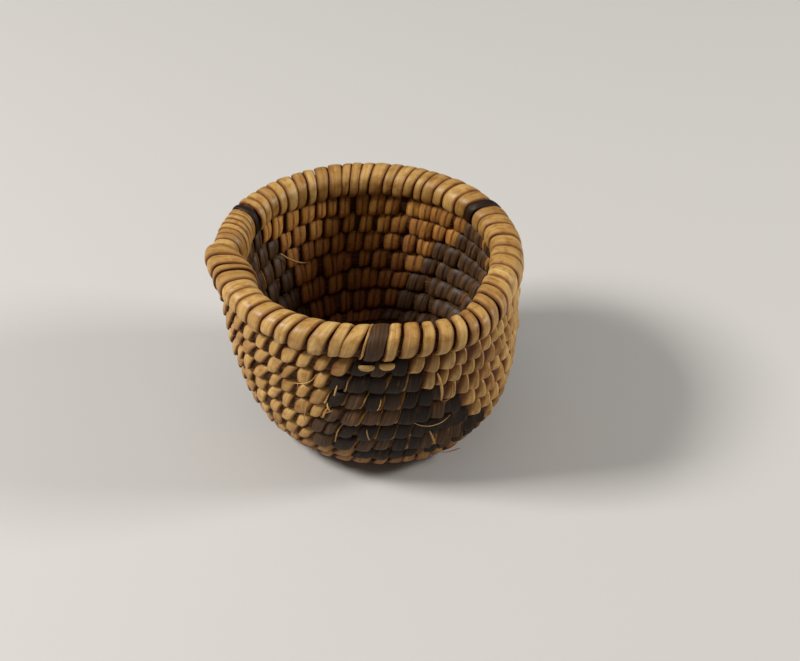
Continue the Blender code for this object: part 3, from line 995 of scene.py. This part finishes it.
def threads(name, corners, half_widths, half_thicknesses, steps=14):
    """Threads along cubic curves from corners (thread, 4, (turn, distance and offset in mm)).

    The curve is the sum of corner k times binomial(3, k) p^k (1 - p)^(3 - k). Its ring lies at half a width
    to each side and half a thickness out and in, and both shrink towards the ends as sin(pi p)^0.3.
    """
    p = np.linspace(0, 1, steps)[:, None]
    k = np.arange(4)
    weights = np.array([1, 3, 3, 1]) * p**k * (1 - p) ** (3 - k)
    turn, distance, offset = np.moveaxis(weights @ np.array(corners), -1, 0)
    middle = place(turn, distance * mm, offset * mm)
    along = np.gradient(middle, axis=1)
    out = place(turn, distance * mm, (offset + 0.1) * mm) - middle
    side = unit(np.cross(out, along))
    out = unit(np.cross(along, side))
    shrink = np.sin(math.pi * np.clip(p, 0.03, 0.97)) ** 0.3
    side, out = (
        way * (np.array(half)[:, None] * mm * shrink[:, 0])[..., None]
        for way, half in ((side, half_widths), (out, half_thicknesses))
    )
    points = middle[:, :, None] + np.stack([side, out, -side, -out], axis=2)
    length = np.cumsum(np.linalg.norm(along, axis=-1), axis=1)[..., None] / mm
    seeds = random.random(len(corners))[:, None, None]
    pattern = together(length, np.array([-0.2, 0, 0.2, 0.1]), seeds)
    where = together(1.0 + 0 * length, np.zeros(4), seeds)
    faces = tube_faces(*points.shape[:3])
    make_piece(name, points, faces, splint["light"], pattern, where, rounded=1)
    return len(corners)


# %% Bits of light splint that pass over the dark ones
def along_coil(azimuth, row, length, height, proud=0.2):
    """Corners of a bit of the light splint that comes out of the coil, passes over it and goes in again."""
    turn = turns_below_rim - row + share_at(azimuth)
    half = length / 2 / (turn_length(turn) / mm)
    distance = coil_section(turn)[0] / mm + height
    surface = wall_thickness / mm / 2
    course = ((1, -0.1), (0.8, proud), (-0.8, proud), (-1, -0.1))
    return [(turn + at * half, distance, surface + lift) for at, lift in course]


passing_over = [along_coil(268.9, 1, 1.1, 0.32), along_coil(276.4, 1, 1.05, 0.42)]
print("passing over:", threads("light_passing_over", passing_over, (0.46, 0.54), (0.24, 0.28)))

# %% Loose fibres
fibres_on_wall = [  # start turn and distance, end turn and distance, and half a width, in millimetres
    (10.789, 17.8, 10.785, 18.8, 0.1), (9.798, 16.8, 9.793, 16.1, 0.12), (9.793, 16.3, 9.803, 15.9, 0.08),
    (7.791, 14.0, 7.797, 12.5, 0.08), (7.689, 13.3, 7.681, 11.5, 0.13), (8.821, 16.4, 8.829, 14.1, 0.05),
    (9.741, 17.6, 9.746, 16.5, 0.06), (7.759, 14.3, 7.757, 13.2, 0.07),
]
loose_fibres = [  # four corners each: turn, distance and offset
    [(10.836, 18.0, 1.0), (10.83, 18.6, 1.3), (10.812, 18.4, 1.4), (10.805, 19.8, 1.1)],
    [(10.823, 19.4, 1.0), (10.826, 18.6, 1.3), (10.829, 18.2, 1.3), (10.827, 17.4, 1.0)],
    [(8.708, 14.7, 0.9), (8.7, 14.3, 1.35), (8.68, 14.0, 1.4), (8.664, 14.5, 0.95)],
    [(9.682, 19.6, 0.9), (9.678, 18.4, 1.35), (9.677, 17.4, 1.3), (9.676, 16.3, 0.9)],
    [(9.676, 16.3, 0.9), (9.67, 16.3, 1.3), (9.664, 16.9, 1.3), (9.663, 17.6, 0.9)],
    [(8.826, 16.5, 0.9), (8.829, 16.1, 1.3), (8.828, 15.5, 1.3), (8.822, 15.1, 0.9)],
    [(4.66, 8.9, 0.9), (4.65, 8.8, 1.2), (4.64, 8.9, 1.2), (4.632, 9.0, 1.35)],
    [(10.118, 18.1, -0.9), (10.125, 17.3, -1.4), (10.14, 16.5, -1.6), (10.152, 16.6, -1.9)],
]
fibre_widths = [0.06, 0.04, 0.055, 0.2, 0.09, 0.05, 0.09, 0.13]  # half of each, in millimetres
thickest_fibre = 0.07
sunk, lifted = 0.9, 1.35  # offsets of a fibre's ends and of its middle
for turn, distance, end_turn, end_distance, half_width in fibres_on_wall:
    start, end = (turn, distance), (end_turn, end_distance)
    loose_fibres.append([(*start, sunk), (*start, lifted), (*end, lifted), (*end, sunk)])
    fibre_widths.append(half_width)
fibre_thicknesses = np.minimum(fibre_widths, thickest_fibre)
print("loose fibres:", threads("loose_fibres", loose_fibres, fibre_widths, fibre_thicknesses))

# %% Stitches under the coil's end
under_end = turns_below_rim + np.array([0.007, 0.02])  # between the last row and the two-coil stitches
under_end_room = 0.013  # of a turn
widths = under_end_room * turn_length(under_end)
loops = stitch_loops(under_end, widths, splint_thickness, wall_shape_at(under_end))
make_stitches("stitches_under_end", loops)
print(f"under the coil's end: {len(under_end)} stitches")

# %% [markdown]
# ## The start knot
#
# The coil starts from a knot in the middle of the base, wrapped so that its splint runs out from the
# middle like spokes. It is a small turned button, and a ripple round it that grows outwards gives the
# wrapping.

# %% The knot
knot_clearance = 0.05 * mm
knot_height_share = 0.8
knot_ripple = 0.06
knot_pattern_radius = 0.8  # in millimetres, for the pattern round it


def start_knot(spokes=9, rings=14, columns=72):
    """A button: for p from 0 under it to 1 on top, radius = edge sin(pi p)^0.6 and height from 0 to top."""
    edge, top = knot_radius - knot_clearance, knot_height_share * wall_thickness
    p = np.linspace(0.03, 0.97, rings)[:, None]
    around = np.linspace(0, 2 * math.pi, columns, endpoint=False)[None]
    ripple = 1 + knot_ripple * np.sin(math.pi * p) * np.abs(np.sin(spokes * around / 2 + 2 * p))
    radius = edge * np.sin(math.pi * p) ** 0.6 * ripple / (1 + knot_ripple)
    height = top * (p - p[0]) / (p[-1] - p[0]) + 0 * around
    points = together(radius * np.cos(around) + base_shift, radius * np.sin(around), height)
    pattern = together(radius / mm, around * knot_pattern_radius, 0.3)
    return make_piece("knot", points, tube_faces(1, rings, columns), splint["light"], pattern)


knot = start_knot()
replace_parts(knot, "start_knot")
print(f"knot: {len(knot.data.polygons)} faces")

# %% [markdown]
# ## Floor, light and camera
#
# The floor is plain and pale. A small soft lamp high on the left makes the shadow on the right. One half
# as strong, lower on the right, lights the other side and catches the splints' satin, and a weak broad
# one above opens up the mouth. The camera has the angle of the photograph: it looks down by 35.4 degrees from
# about 0.2 metres away.

# %% Floor
floor_reach = 2.0


def floor():
    """A plain pale square to stand on, which is no part of the basket."""
    material, tree, shader = new_material("pale_floor")
    feed(tree, shader.inputs["Base Color"], "#c6c2bc")
    feed(tree, shader.inputs["Roughness"], 0.9)
    corners = [(x * floor_reach, y * floor_reach, 0) for x, y in ((-1, -1), (1, -1), (1, 1), (-1, 1))]
    mesh = bpy.data.meshes.new("floor")
    mesh.from_pydata(corners, [], [(0, 1, 2, 3)])
    mesh.materials.append(material)
    made = bpy.data.objects.new("floor", mesh)
    bpy.context.scene.collection.objects.link(made)


floor()
print(f"floor: {2 * floor_reach:.0f} m square")

# %% Lights
room_light = 0.14
basket_middle = (cad_low + cad_high) / 2
lamps = {  # place and width in metres, and power in watts
    "key": ((-0.22, -0.03, 0.22), 0.08, 0.98),
    "fill": ((0.26, 0.0, 0.16), 0.08, 0.52),
    "top": ((0.0, -0.02, 0.35), 0.2, 0.1),
}
for name, (location, width, power) in lamps.items():
    lamp = bpy.data.lights.new(name, "AREA")
    lamp.size, lamp.energy = width, power
    made = bpy.data.objects.new(name, lamp)
    bpy.context.scene.collection.objects.link(made)
    made.location = location
    made.rotation_euler = (basket_middle - made.location).to_track_quat("-Z", "Y").to_euler()
world = bpy.data.worlds.new("room")
bpy.context.scene.world = world
world.use_nodes = True
background = world.node_tree.nodes["Background"]
background.inputs["Color"].default_value = (1, 1, 1, 1)
background.inputs["Strength"].default_value = room_light
print("lamps:", *lamps)

# %% Camera
photo_width, photo_height = 800, 661
camera_elevation = math.radians(35.4)
camera_distance = 206.6 * mm
rim_pixel = (367.8, 256.8)
pixels_per_radian = 2593
aim_height = 15.15 * mm
sensor_width = 36  # in millimetres


def photo_camera():
    """Stands where the photograph was taken, and aims so that the rim's centre falls on its pixel."""
    rim_centre = Vector((0, 0, aim_height))
    back = Vector((0, -math.cos(camera_elevation), math.sin(camera_elevation)))
    up = Vector((0, math.sin(camera_elevation), math.cos(camera_elevation)))
    scale = camera_distance / pixels_per_radian
    aim = rim_centre + Vector((1, 0, 0)) * (photo_width / 2 - rim_pixel[0]) * scale
    aim -= up * (photo_height / 2 - rim_pixel[1]) * scale
    lens = bpy.data.cameras.new("camera")
    lens.sensor_width = sensor_width
    lens.lens = pixels_per_radian * sensor_width / photo_width
    lens.clip_start = 0.01
    camera = bpy.data.objects.new("camera", lens)
    camera.location = rim_centre + back * camera_distance
    camera.rotation_euler = (aim - camera.location).to_track_quat("-Z", "Y").to_euler()
    bpy.context.scene.collection.objects.link(camera)
    bpy.context.scene.camera = camera


photo_camera()
bpy.context.scene.view_settings.view_transform = "Standard"
print(f"camera: {camera_distance:.2f} m from the rim, {math.degrees(camera_elevation):.1f} degrees up")
